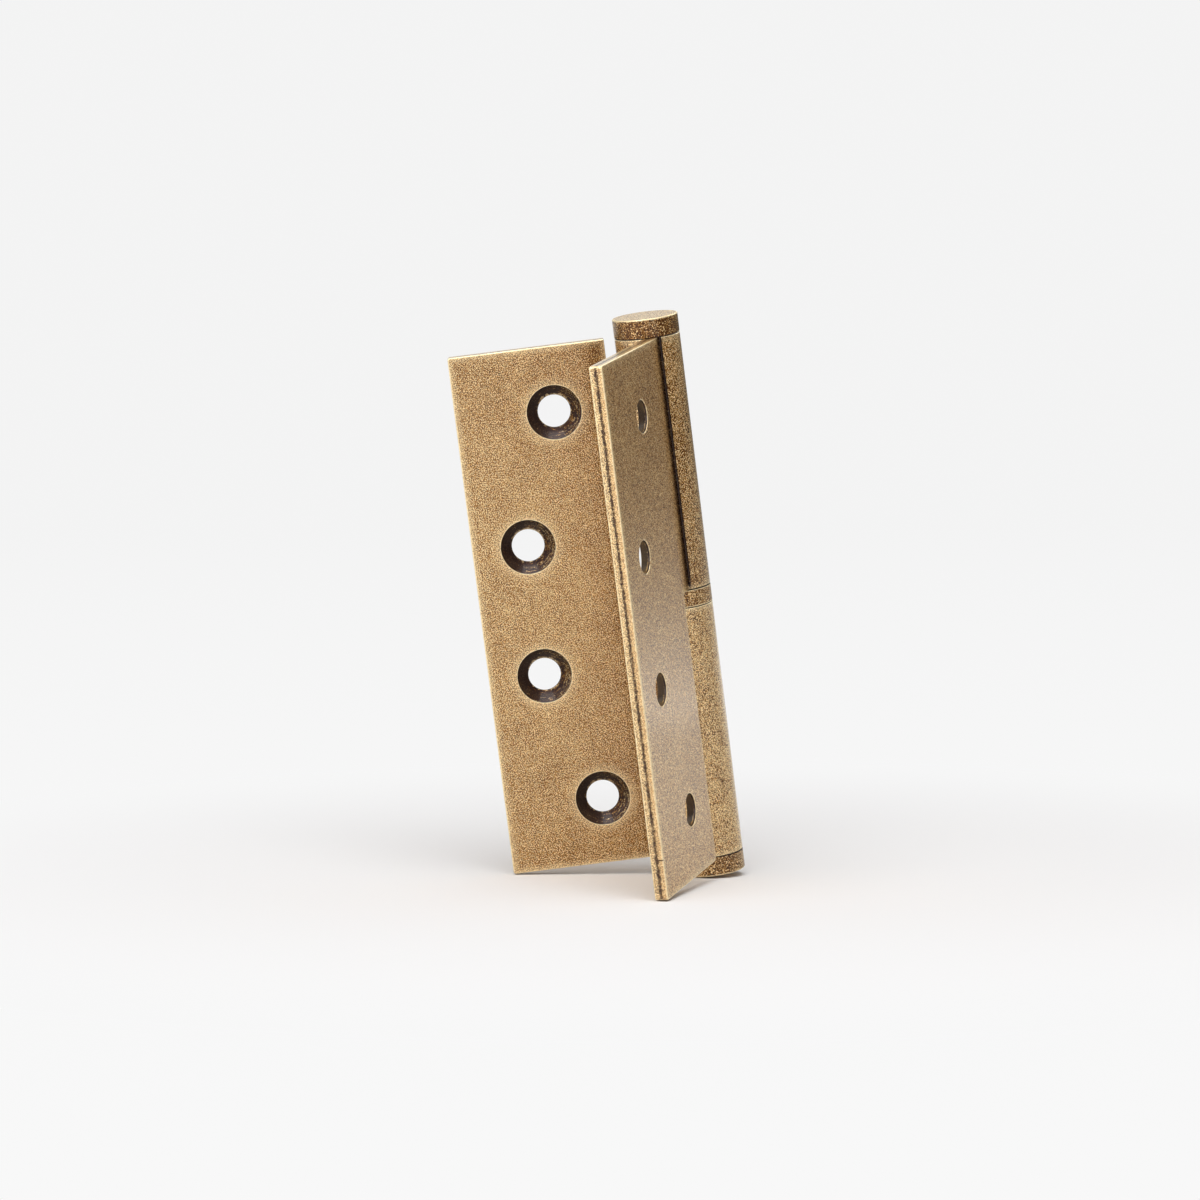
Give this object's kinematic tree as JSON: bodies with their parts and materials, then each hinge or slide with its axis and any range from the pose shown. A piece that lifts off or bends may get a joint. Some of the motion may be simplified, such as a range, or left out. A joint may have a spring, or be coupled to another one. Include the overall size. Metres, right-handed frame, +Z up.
{
  "type": "lift-off hinge",
  "caption": "Lift-off butt hinge in antique brass: two countersunk leaves, knuckles on a steel pin with a washer between them and flat end caps.",
  "frame": {"origin": "on the pin's axis, at mid height, in the middle of the washer", "axes": "+Z up along the pin, the way the door leaf lifts off; -X along the frame leaf to its outer edge; +Y out of the frame leaf's back, into the jamb"},
  "size_m": [0.0447, 0.0436, 0.109],
  "materials": {
    "leaf_brass": "antique brass, darkened and relieved, satin",
    "turned_brass": "antique brass, turned, darkened and relieved, satin",
    "pin_steel": "ground steel, lightly oiled"
  },
  "bodies": {
    "frame_side": {"frame_leaf": "leaf_brass", "hinge_pin": "pin_steel", "bottom_cap": "turned_brass"},
    "washer": {"bearing_washer": "turned_brass"},
    "door_side": {"door_leaf": "leaf_brass", "top_cap": "turned_brass"}
  },
  "joints": [
    {"name": "swing", "type": "hinge", "parent": "frame_side", "child": "washer", "pos_m": [0, 0, 0], "axis": [0, 0, 1], "range_deg": [-70, 200]},
    {"name": "lift", "type": "slide", "parent": "washer", "child": "door_side", "axis": [0, 0, 1], "range_m": [0, 0.036]}
  ]
}
